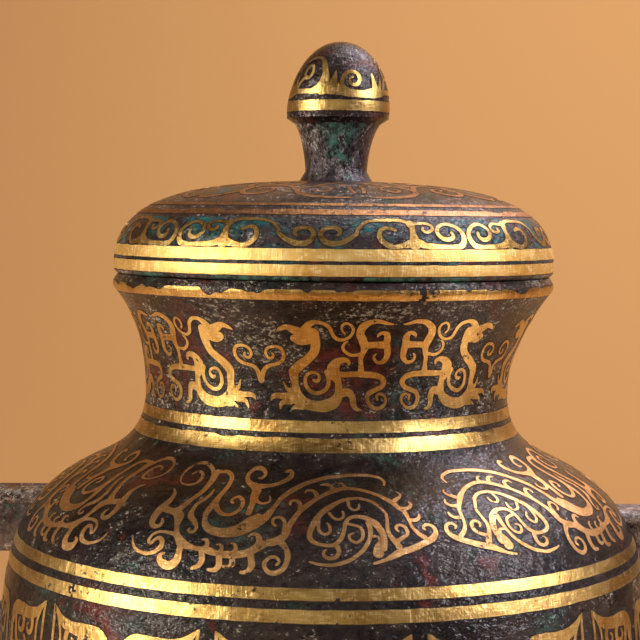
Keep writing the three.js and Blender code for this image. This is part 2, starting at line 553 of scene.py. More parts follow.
# Old bronze: near black with warm mottling, a greyish film, pale specks in clusters, green and red crusts
def bronzeMaterial(name):
    finish = bronzeFinishes[name]
    m = newMaterial(name)
    spot = addPlace(m, Location=finish.get("shift", (0, 0, 0)))
    aside = addPlace(m, Location=patina["aside"])
    # the finer texture is stretched along one direction, as if brushed
    streaked = addPlace(m, Scale=finish["streak"])
    mottling = addNoise(m, spot, patina["mottling"], 9, 0.70, 0.3)
    grain = addNoise(m, streaked, patina["grain"], 3, 0.65)
    speckle = addNoise(m, streaked, patina["speckle"], 6, 0.80, 0.2)
    base = addRamp(m, mottling, ((0.42, finish["dark"]), (0.62, finish["warm"])))
    # the clusters grow above a height: the neck is paler than the shoulder
    heights = addNode(m, "ShaderNodeSeparateXYZ")
    link(m, addNode(m, "ShaderNodeTexCoord"), "Object", heights, 0)
    onNeck = addMask(m, heights, *patina["neckHeights"], socket="Z")
    gathered = addMath(m, "ADD", addNoise(m, aside, patina["clusters"], 8, 0.70, 0.5),
                       addMath(m, "MULTIPLY", onNeck, finish.get("paleNeck", 0)))
    cluster = addMask(m, gathered, finish["ashShare"] - 0.06, finish["ashShare"] + 0.14)
    # the film lies in the clusters, broken up by the speckle
    filmOn = addMath(m, "MULTIPLY", cluster, addMask(m, speckle, 0.44, 0.60))
    filmed = mixColor(m, filmOn, base, finish["film"])
    # pale specks, many inside a cluster and a few outside
    fine = addMath(m, "ADD", addMath(m, "MULTIPLY", grain, 0.5), addMath(m, "MULTIPLY", speckle, 0.5))
    gain = addMath(m, "MULTIPLY", cluster, patina["ashGain"])
    ashLimit = addMath(m, "SUBTRACT", patina["ashLimit"], gain)
    ashOn = addMask(m, addMath(m, "SUBTRACT", fine, ashLimit), 0, 0.035)
    ashTone = addRamp(m, grain, ((0.42, dimmed(finish["ash"], 0.4)), (0.64, finish["ash"])))
    ashy = mixColor(m, ashOn, filmed, ashTone)
    # green and red crusts in patches broken up by the speckle
    greenNoise = addNoise(m, spot, patina["greenAreas"], 8, 0.68, 0.8)
    greenArea = addMask(m, greenNoise, finish["greenShare"] - 0.02, finish["greenShare"] + 0.06)
    greenOn = addMath(m, "MULTIPLY", greenArea, addMask(m, speckle, 0.40, 0.55))
    greenTone = addRamp(m, speckle, ((0.42, dimmed(finish["green"], 0.45)), (0.62, finish["green"])))
    green = mixColor(m, greenOn, ashy, greenTone)
    redNoise = addNoise(m, aside, patina["redAreas"], 7, 0.66, 0.6)
    redArea = addMask(m, redNoise, finish["redShare"] - 0.02, finish["redShare"] + 0.05)
    redOn = addMath(m, "MULTIPLY", redArea, addMask(m, speckle, 0.38, 0.55))
    shader = m.node_tree.nodes["Principled BSDF"]
    link(m, mixColor(m, redOn, green, finish["red"]), mixSockets["result"], shader, "Base Color")
    crust = addMath(m, "MAXIMUM", ashOn, greenOn)
    link(m, addMask(m, crust, 0, 1, patina["metal"], 0), 0, shader, "Metallic")
    gloss = addMask(m, speckle, 0.36, 0.62, finish["gloss"], finish["gloss"] + patina["dulling"])
    link(m, addMath(m, "ADD", gloss, addMath(m, "MULTIPLY", crust, 0.35)), 0, shader, "Roughness")
    height = addMath(m, "ADD", addMath(m, "MULTIPLY", speckle, 0.75), addMath(m, "MULTIPLY", grain, 0.30))
    raised = addMath(m, "ADD", height, addMath(m, "MULTIPLY", crust, 0.30))
    addBump(m, raised, 0.9, patina["bumpDepth"], "Normal")
    # a thin glossy patina that catches the lights
    addBump(m, addNoise(m, streaked, patina["ripples"], 3, 0.6), 0.95, patina["rippleDepth"], "Coat Normal")
    setShader(m, Specular_IOR_Level=0.22, Coat_Weight=patina["coat"], Coat_IOR=1.5,
              Coat_Roughness=finish.get("polish", patina["polish"]))
    return m


# For each finish its colours, from which value of the noise the wear begins (the higher, the rarer), and
# how rough its smoothest spots are
goldFinishes = {
    "goldInlay": {
        "bright": (0.74, 0.50, 0.155),
        "deep": (0.39, 0.205, 0.042),
        "scratch": (0.84, 0.62, 0.29),
        "tarnish": (0.030, 0.016, 0.010),
        "wearFrom": 0.46,
        "gloss": 0.27,
    },
    # the lid's edge is more brushed, and its paler colour is painted highlight, for the light the edge
    # catches from the front
    "paintedHighlightInlay": {
        "bright": (0.95, 0.69, 0.25),
        "deep": (0.78, 0.45, 0.095),
        "scratch": (1.0, 0.84, 0.46),
        "tarnish": (0.10, 0.050, 0.020),
        "wearFrom": 0.56,
        "gloss": 0.46,
    },
    # the shoulder's inlay is duller and more coppery
    "agedInlay": {
        "bright": (0.74, 0.43, 0.165),
        "deep": (0.50, 0.25, 0.075),
        "scratch": (0.84, 0.58, 0.32),
        "tarnish": (0.030, 0.016, 0.010),
        "wearFrom": 0.46,
        "gloss": 0.34,
    },
    # thin inlay on top of the lid, darkened to a coppery brown: painted shade for the lid's top
    "paintedShadeCopperInlay": {
        "bright": (0.42, 0.20, 0.085),
        "deep": (0.22, 0.095, 0.040),
        "scratch": (0.55, 0.32, 0.15),
        "tarnish": (0.030, 0.018, 0.014),
        "wearFrom": 0.40,
        "gloss": 0.34,
    },
}


# What all the gold finishes share
goldWork = {
    # for each direction of brushing its turn, stretch and noise scale
    "brushing": (((0.5, 0.6, 0.3), (1, 1, 9), 360), ((-0.4, 0.2, -0.9), (11, 1, 1), 280),
                 ((0.2, -0.7, 0.8), (1, 12, 1), 300)),
    "toneAreas": 62,  # noise scales, the larger the finer
    "wornAreas": 40,
    "flecks": 520,
    "dents": 130,
    "fleckLimit": 0.67,
    "fleckGain": 0.13,  # how much sooner a fleck shows in a worn area
    "dulling": 0.17,
    "bumpDepth": 0.00045,
}


# Inlaid gold: fine brushing in several directions, deeper tone in patches, and dark worn flecks
def goldMaterial(name):
    finish = goldFinishes[name]
    m = newMaterial(name)
    spot = addPlace(m)
    toneMask = addMask(m, addNoise(m, spot, goldWork["toneAreas"], 7, 0.66, 0.3), 0.34, 0.64)
    scratches = []
    for turned, stretched, scale in goldWork["brushing"]:
        brushed = addPlace(m, Rotation=turned, Scale=stretched)
        scratches.append(addMath(m, "MULTIPLY", addNoise(m, brushed, scale, 3, 0.6), 0.34))
    scratch = addMath(m, "ADD", addMath(m, "ADD", scratches[0], scratches[1]), scratches[2])
    toned = mixColor(m, toneMask, finish["deep"], finish["bright"])
    lit = mixColor(m, addMask(m, scratch, 0.52, 0.60), toned, finish["scratch"])
    fleck = addNoise(m, spot, goldWork["flecks"], 6, 0.74, 0.2)
    wornNoise = addNoise(m, spot, goldWork["wornAreas"], 6, 0.62)
    worn = addMask(m, wornNoise, finish["wearFrom"], finish["wearFrom"] + 0.16)
    gain = addMath(m, "MULTIPLY", worn, goldWork["fleckGain"])
    limit = addMath(m, "SUBTRACT", goldWork["fleckLimit"], gain)
    wear = addMask(m, addMath(m, "SUBTRACT", fleck, limit), 0, 0.05)
    shader = m.node_tree.nodes["Principled BSDF"]
    link(m, mixColor(m, wear, lit, finish["tarnish"]), mixSockets["result"], shader, "Base Color")
    link(m, addMask(m, wear, 0, 1, 1, 0.3), 0, shader, "Metallic")
    gloss = addMask(m, scratch, 0.40, 0.62, finish["gloss"], finish["gloss"] + goldWork["dulling"])
    link(m, gloss, 0, shader, "Roughness")
    dents = addNoise(m, spot, goldWork["dents"], 3, 0.5)
    height = addMath(m, "ADD", addMath(m, "MULTIPLY", scratch, 0.5), addMath(m, "MULTIPLY", dents, 1.2))
    addBump(m, height, 0.9, goldWork["bumpDepth"], "Normal")
    return m


# The dark line of the cut channel that the gold is hammered into
def grooveMaterial():
    m = newMaterial("darkGroove")
    soil = addNoise(m, addPlace(m), 400, 5, 0.65)
    tone = addRamp(m, soil, ((0.35, (0.008, 0.005, 0.005)), (0.7, (0.035, 0.020, 0.016))))
    link(m, tone, 0, m.node_tree.nodes["Principled BSDF"], "Base Color")
    setShader(m, Metallic=0.2, Roughness=0.75)
    return m


materials = {name: bronzeMaterial(name) for name in bronzeFinishes}
materials.update({name: goldMaterial(name) for name in goldFinishes})
materials["darkGroove"] = grooveMaterial()


def finishPiece(piece, material, slot, *nodes):
    leanPiece(piece)
    piece.data.materials.clear()
    piece.data.materials.append(materials[material])
    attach(piece, "root")
    if nodes:
        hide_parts(*nodes)


jarBody = spinLine("jarBody", jarOutline(), jarShape["steps"])
smoothByAngle(jarBody, sharpness["turned"])
finishPiece(jarBody, "bronzeBody", "bronze_body", "jar_body")

lidBody = spinLine("lidBody", lidOutline(), lidShape["steps"])
smoothByAngle(lidBody, sharpness["turned"])
finishPiece(lidBody, "bronzeLid", "bronze_lid", "lid")
print("jar and lid turned")

# Heights at which the lid's finish changes, the last two a little past a corner of its outline
lidZones = {
    "edgeTop": lidShape["base"] + lidShape["edgeHeight"],
    "domeStart": jointHeight + 15.5,
    "stemStart": domeLine()[-1][1] + 0.5,
    "knobStart": stemLine()[-1][1] + 0.5,
}


# The stem and the disc's lower edge are greener, the disc's top and the knob browner
def finishLid():
    for name in ("bronzeStem", "bronzeDome", "bronzeKnob"):
        lidBody.data.materials.append(materials[name])
    for face in lidBody.data.polygons:
        z = face.center.z
        if z > lidZones["knobStart"] * mm:
            face.material_index = 3
        elif z > lidZones["stemStart"] * mm or z < lidZones["edgeTop"] * mm:
            face.material_index = 1
        elif z > lidZones["domeStart"] * mm:
            face.material_index = 2


finishLid()


# Handles: a loop of rounded section with a raised strap along its outside
def handleCentre():
    h = handleShape
    arm, outer, lower, tail = h["steps"]
    line = [(h["root"] + (h["armEnd"] - h["root"]) * i / arm, h["armHeight"]) for i in range(arm + 1)]
    bend(line, (h["reach"], h["armHeight"] - h["drop"] / 2), 0, 0.42, -90, 0.42, outer)
    bend(line, (h["lowest"], h["armHeight"] - h["drop"]), -90, 0.42, 180, 0.36, lower)
    bend(line, (h["tail"], h["armHeight"] - h["drop"] + h["tailRise"]), 180, 0.42, 140, 0.3, tail)
    return line


# Half of the section is drawn from the middle of its inner face to the middle of its outer one
def handleSection(depth):
    h = handleShape
    half = h["width"] / 2
    top = depth / 2
    ledge = top - h["ridge"]
    over = h["ridgeOverhang"]
    right = [(0, -top), (half * 0.45, -top), (half * 0.86, -top * 0.86), (half, -top * 0.45), (half, 0),
             (half, ledge - 0.6), (half - 0.5, ledge), (half + over * 0.7, ledge + 0.3),
             (half + over, ledge + over), (half + over, top - over), (half * 0.95, top - 0.3),
             (half * 0.6, top), (half * 0.45, top - 0.6), (half * 0.2, top - 0.6), (0, top - 0.1)]
    left = [(-x, y) for x, y in reversed(right[1:-1])]
    return right + left


def makeHandle(name, node, side):
    h = handleShape
    line = handleCentre()
    sides = len(handleSection(h["armDepth"]))
    corners = []
    faces = []
    for i, point in enumerate(line):
        before = line[max(i - 1, 0)]
        after = line[min(i + 1, len(line) - 1)]
        length = math.dist(before, after)
        alongX = (after[0] - before[0]) / length
        alongZ = (after[1] - before[1]) / length
        share = min(max((i / (len(line) - 1) - h["taperStart"]) / h["taperLength"], 0), 1)
        share = share * share * (3 - 2 * share)
        depth = h["armDepth"] + (h["loopDepth"] - h["armDepth"]) * share
        for across, up in handleSection(depth):
            corners.append(((point[0] - alongZ * up) * side * mm, -across * side * mm,
                            (point[1] + alongX * up - side * h["unevenness"]) * mm))
    for i in range(len(line) - 1):
        for k in range(sides):
            a = i * sides + k
            b = i * sides + (k + 1) % sides
            faces.append((a, a + sides, b + sides, b))
    faces.append(tuple(range(sides)))
    faces.append(tuple(range(len(corners) - 1, len(corners) - 1 - sides, -1)))
    piece = makePiece(name, corners, faces)
    editAll(piece)
    bpy.ops.mesh.normals_make_consistent(inside=False)
    bpy.ops.object.mode_set(mode="OBJECT")
    applyModifier(piece, "SUBSURF", levels=2, render_levels=2)
    smoothByAngle(piece, sharpness["handle"])
    finishPiece(piece, "bronzeHandle", "bronze_handle", node)


makeHandle("handleRight", "handle_right", 1)
makeHandle("handleLeft", "handle_left", -1)
print("handles made")


# Surfaces that carry ornament. A strip is an outline with its running length, so that a drawing in
# millimetres (across, up) can be laid on it
def makeStrip(line):
    lengths = [0]
    for before, after in zip(line, line[1:]):
        lengths.append(lengths[-1] + math.dist(before, after))
    return {"line": line, "lengths": lengths}


# Running length where the strip passes a height above the joint
def lengthAt(strip, height):
    z = height + jointHeight
    for i in range(len(strip["line"]) - 1):
        low, high = strip["line"][i][1], strip["line"][i + 1][1]
        if low <= z <= high:
            share = (z - low) / (high - low) if high > low else 0
            return strip["lengths"][i] + share * (strip["lengths"][i + 1] - strip["lengths"][i])
    return strip["lengths"][-1]


def pointAt(strip, length):
    lengths = strip["lengths"]
    length = min(max(length, 0), lengths[-1])
    low, high = 0, len(lengths) - 1
    while high - low > 1:
        middle = (low + high) // 2
        if lengths[middle] <= length:
            low = middle
        else:
            high = middle
    share = (length - lengths[low]) / (lengths[high] - lengths[low])
    a, b = strip["line"][low], strip["line"][high]
    return a[0] + (b[0] - a[0]) * share, a[1] + (b[1] - a[1]) * share


# Point on the surface, lifted straight off it, as radius and height
def liftedAt(strip, length, lift):
    r, z = pointAt(strip, length)
    before = pointAt(strip, length - inlay["slopeReach"])
    after = pointAt(strip, length + inlay["slopeReach"])
    reach = math.dist(before, after)
    return r + (after[1] - before[1]) / reach * lift, z - (after[0] - before[0]) / reach * lift


def onSurface(strip, angle, length, lift):
    r, z = liftedAt(strip, length, lift)
    return Vector((r * math.sin(angle) * mm, -r * math.cos(angle) * mm, z * mm))


wallStrip = makeStrip(wallLine(jarShape["stripSteps"]) + rimLine()[1:])
domeStrip = makeStrip(domeLine())
knobStrip = makeStrip(knobLine())
footStrip = makeStrip(footLine())

inlay = {
    "lift": 0.10,  # the gold's face above the bronze, in millimetres
    "grooveLift": 0.035,
    "groove": 0.5,  # how much wider the dark channel is than the gold
    "thickness": 0.32,
    "wobble": 0.16,  # the hand-cut edges' unevenness
    "pointGap": 0.6,  # between points along a stroke
    "roundEnd": 6,  # facets of a stroke's rounded end
    "slopeReach": 0.8,  # how far to either side the surface's slope is taken
    "hair": 1e-4,  # areas below this count as nothing
    "weld": 0.015,  # points of a drawing closer than this become one
}


# Points along a stroke of (across, up, width), rounded through the ones given
def smoothStroke(stroke):
    points = []
    last = len(stroke) - 1
    for i in range(last):
        p0, p1 = stroke[max(i - 1, 0)], stroke[i]
        p2, p3 = stroke[i + 1], stroke[min(i + 2, last)]
        steps = max(2, math.ceil(math.dist(p1[:2], p2[:2]) / inlay["pointGap"]))
        for k in range(steps):
            t = k / steps
            curve = [0.5 * (2 * b + (c - a) * t + (2 * a - 5 * b + 4 * c - d) * t * t
                            + (3 * b - a - 3 * c + d) * t ** 3)
                     for a, b, c, d in zip(p0[:2], p1[:2], p2[:2], p3[:2])]
            points.append((*curve, p1[2] + (p2[2] - p1[2]) * t))
    points.append(tuple(stroke[last]))
    return points


def addTriangle(corners, faces, a, b, c):
    area = (b[0] - a[0]) * (c[1] - a[1]) - (c[0] - a[0]) * (b[1] - a[1])
    if abs(area) < inlay["hair"]:
        return
    first = len(corners)
    corners.extend((Vector(a), Vector(b), Vector(c)) if area > 0 else (Vector(a), Vector(c), Vector(b)))
    faces.append((first, first + 1, first + 2))


# A stroke as triangles in the flat drawing, with rounded ends
def layStroke(corners, faces, stroke, grow):
    points = smoothStroke(stroke)
    rails = []
    for i, (x, y, width) in enumerate(points):
        before = points[max(i - 1, 0)]
        after = points[min(i + 1, len(points) - 1)]
        length = math.dist(before[:2], after[:2]) or 1
        nx = -(after[1] - before[1]) / length
        ny = (after[0] - before[0]) / length
        half = (width + grow) / 2
        rails.append(((x + nx * half, y + ny * half), (x - nx * half, y - ny * half)))
    for (a, b), (c, d) in zip(rails, rails[1:]):
        addTriangle(corners, faces, a, b, d)
        addTriangle(corners, faces, a, d, c)
    for index, way in ((0, 1), (-1, -1)):
        x, y, width = points[index]
        a, b = rails[index]
        start = math.atan2(a[1] - y, a[0] - x)
        turns = [start + way * math.pi * k / inlay["roundEnd"] for k in range(inlay["roundEnd"] + 1)]
        half = (width + grow) / 2
        rim = [(x + half * math.cos(angle), y + half * math.sin(angle)) for angle in turns]
        for p, q in zip(rim, rim[1:]):
            addTriangle(corners, faces, (x, y), p, q)


def isInside(point, triangle):
    for a, b in zip(triangle, triangle[1:] + triangle[:1]):
        if (b.x - a.x) * (point.y - a.y) - (b.y - a.y) * (point.x - a.x) < -inlay["hair"]:
            return False
    return True


# All strokes of a drawing as one flat sheet of triangles without overlaps
def flatDrawing(strokes, grow):
    corners = []
    faces = []
    for stroke in strokes:
        layStroke(corners, faces, stroke, grow)
    points, _, triangles, _, _, origins = delaunay_2d_cdt(corners, [], faces, 0, inlay["weld"])
    kept = []
    for triangle, sources in zip(triangles, origins):
        middle = sum((points[i] for i in triangle), Vector((0, 0))) / 3
        if any(isInside(middle, [corners[i] for i in faces[source]]) for source in sources):
            kept.append(triangle)
    return points, kept


# The hand-cut edge: a slow drift and a finer one, different in each cell
def wobbled(x, y, key):
    shift = noise.noise_vector(Vector((x * 0.35, y * 0.35, key * 7.7))) * inlay["wobble"]
    fine = noise.noise_vector(Vector((x * 1.3, y * 1.3, key * 3.1))) * inlay["wobble"] * 0.35
    return x + shift.x + fine.x, y + shift.y + fine.y


# Cells are (angle of the drawing's left axis, direction, radians for each millimetre across)
def layCells(name, strip, start, cells, drawing, lift, slant):
    points, triangles = drawing
    corners = []
    faces = []
    for key, (angle, way, scale) in enumerate(cells):
        first = len(corners)
        for point in points:
            x, y = wobbled(point.x, point.y, key)
            corners.append(onSurface(strip, angle + (way * x + slant * y) * scale, start + y, lift))
        for a, b, c in triangles:
            faces.append((first + a, first + b, first + c) if way > 0 else (first + a, first + c, first + b))
    return makePiece(name, corners, faces)


def thicken(piece):
    editAll(piece)
    bpy.ops.mesh.remove_doubles(threshold=2e-6)
    bpy.ops.object.mode_set(mode="OBJECT")
    outward = sum(face.normal.x * face.center.x + face.normal.y * face.center.y
                  for face in piece.data.polygons)
    if outward < 0:
        piece.data.flip_normals()
    applyModifier(piece, "SOLIDIFY", thickness=inlay["thickness"] * mm, offset=-1)
    smoothByAngle(piece, sharpness["inlay"])


# Each inlay is two sheets: the dark channel and, a hair above it, the narrower metal
def inlaySheets(metal):
    return (("Groove", inlay["grooveLift"], inlay["groove"], "darkGroove", "bronze_body"),
            ("Gold", inlay["lift"], 0, metal, "gold_inlay"))


# A frieze may be drawn lower than it is laid, with bolder strokes, in another metal or leaning over
def layFrieze(name, strip, frieze):
    start = lengthAt(strip, frieze["start"])
    rise = frieze.get("rise", 1)
    bold = frieze.get("bold", 1)
    strokes = [[(x, y * rise, width * bold) for x, y, width in stroke] for stroke in frieze["strokes"]]
    for part, lift, grow, material, slot in inlaySheets(frieze.get("metal", "goldInlay")):
        drawing = flatDrawing(strokes, grow)
        slant = frieze.get("slant", 0)
        piece = layCells(name + part, strip, start, frameCells(frieze), drawing, lift, slant)
        thicken(piece)
        finishPiece(piece, material, slot)
    print(name, "laid,", len(piece.data.polygons), "faces")


# Cells from the angle of the first axis, with the given widths in degrees. Every second one is mirrored
# unless the frieze runs all one way
def frameCells(frieze):
    cells = []
    angle = frieze["firstAxis"]
    for i, width in enumerate(frieze["widths"]):
        scale = math.radians(width) / frieze["drawn"]
        if i % 2 == 0 or frieze.get("oneWay"):
            cells.append((math.radians(angle), 1, scale))
        else:
            cells.append((math.radians(angle + width), -1, scale))
        angle += width
    return cells


# Neck frieze: facing bird-dragons with a heart between them and a tail bar behind.
# Across is counted from the heart's axis, up from just above the neck's lower bands
neckFrieze = {
    "start": -38,
    "slant": -0.115,  # how far it leans to the left, for each millimetre up
    "drawn": 37.25,
    "firstAxis": -18.0,
    "widths": [38.1, 38.1, 38.1, 34.6, 34.6, 34.6, 34.6, 34.6, 34.6, 38.1],
    "strokes": [
        # heart
        [(0, 9.2, 1.7), (1.2, 12.3, 1.1), (3, 13.4, 1), (5, 13.9, 1), (6.6, 15, 1), (7.1, 17, 1),
         (6.2, 18.7, 0.9), (4.4, 19.1, 0.85), (2.8, 18.5, 0.8), (2.1, 17, 0.8), (2.6, 15.8, 0.8),
         (3.6, 15.5, 0.8), (4.3, 16.3, 0.8), (3.9, 17, 0.5)],
        # crest
        [(23.6, 23.4, 0.5), (22.9, 24.4, 0.6), (23, 25.8, 0.7), (24, 26.6, 0.7), (25.2, 26, 0.7),
         (25.7, 24.5, 0.8), (25, 22.7, 0.8), (23.5, 21.6, 0.9), (22.2, 21.4, 0.9), (21, 22.1, 1),
         (20.3, 23.6, 1), (19.6, 25.3, 1.1), (18.3, 26.5, 1.2), (16.5, 26.9, 1.3), (14.8, 26.2, 1.8),
         (13.8, 24.6, 2.6)],
        # beak and jaw
        [(13.5, 22.8, 3.2), (11, 24.2, 2.6), (9, 25.2, 1.8), (7.2, 24.6, 1.2), (6.1, 23.8, 0.2)],
        [(14.5, 22, 3.6), (12, 21.3, 3.4), (10.5, 21.7, 2.2)],
        # neck, body and haunch
        [(15.5, 23.5, 3), (15.9, 20.5, 2.6), (15.4, 17.8, 2.4), (13.6, 15.6, 2.4), (11.2, 13.6, 2.6),
         (9.5, 11.6, 2.8), (9.7, 8.6, 2), (9.9, 5.8, 2.6), (11.5, 3.4, 3.2), (14, 2.4, 3), (17, 2.3, 3.2),
         (20, 3.4, 3.2), (21.6, 5.6, 2.4), (21.6, 9, 1.9), (20.6, 11.4, 3.4), (20.4, 13.2, 3.4),
         (21.6, 14.9, 2.2), (23.4, 15.4, 1.4), (24.6, 14.8, 1), (24.5, 14, 0.6)],
        [(18.6, 12, 1.4), (19.1, 10, 1.2), (18.8, 8, 1.1), (17.6, 6.6, 1.1), (15.6, 5.8, 1.1),
         (13.8, 6.4, 1.1), (12.7, 8, 1.1), (12.6, 9.8, 1), (13.4, 11.3, 0.9), (14.8, 11.8, 0.9),
         (16.2, 11.2, 0.8), (16.5, 10, 0.9), (15.7, 9.2, 1.1), (14.9, 9.5, 0.8)],
        # feet, claws and spur
        [(22.5, 6, 2.4), (24.4, 6.2, 2.2), (25.4, 4.6, 1.8), (25.5, 2.8, 1.6), (26.4, 1.5, 1.1),
         (27.7, 1.2, 0.4)],
        [(11, 3.6, 3), (8, 4.6, 2.6), (5.6, 4.9, 1.6), (4, 5, 1.5), (2.9, 4.6, 1.2), (2.3, 3.6, 0.3)],
        [(8, 3.6, 2), (5.8, 3.2, 1.3), (5, 2.4, 1), (4.7, 1.3, 0.3)],
        [(11, 2.2, 2), (9.2, 1.9, 1.2), (8.1, 1.2, 0.3)],
        [(9.5, 6.6, 2), (7.7, 6.6, 1.2), (7, 7.4, 0.8), (6.4, 8.9, 0.3)],
        # tail bar and its spiral
        [(19.5, 11.4, 2.2), (22.5, 11.2, 1.5), (26.5, 11.3, 1.6), (29.5, 11.2, 1.7), (32, 11, 1.6),
         (33.8, 10.3, 1.5), (34.5, 9, 1.5), (33.9, 7.7, 1.4), (32, 6.8, 1.3), (30.2, 5.9, 1.3),
         (29.6, 4.3, 1.2), (30.3, 2.5, 1.1), (32, 1.6, 1), (33.9, 2.1, 0.9), (34.9, 3.7, 0.8),
         (34.5, 5.2, 0.8), (33.2, 5.7, 0.7), (32.3, 5, 0.7), (32.5, 4, 0.6)],
        # branch with its lobes
        [(27.9, 11.5, 2), (27.9, 14, 1.3), (27.9, 16, 1.3), (28.5, 18, 1.6), (28.7, 19.6, 2.2),
         (28.1, 21.5, 2.4), (27.5, 23.5, 2.1), (28.2, 25.6, 2), (30.2, 27, 1.6), (32.5, 27.2, 1.2),
         (34.5, 26.6, 0.9), (35.9, 26.3, 0.4)],
        [(28.7, 19.8, 2), (31.5, 19.9, 1.8), (33.7, 19.9, 2.2)],
        [(34.4, 20.2, 2), (34.7, 21.5, 1.9), (34.4, 23, 1.6), (33.3, 23.6, 1.1), (32.3, 22.9, 0.9),
         (32.1, 22.3, 0.4)],
        [(34.6, 20, 2), (34.9, 18, 1.9), (34.9, 16.2, 1.6), (33.9, 14.8, 1.2), (32.5, 14.7, 0.9),
         (31.6, 15.5, 0.8), (31.4, 16.5, 0.7), (31.9, 17.2, 0.4)],
        [(27.9, 17.2, 1), (26.5, 16.9, 0.9), (24.9, 16.9, 1), (23.5, 17.9, 0.9), (23, 19.3, 0.8),
         (23.5, 20.5, 0.7), (24.2, 20.9, 0.3)],
    ],
}

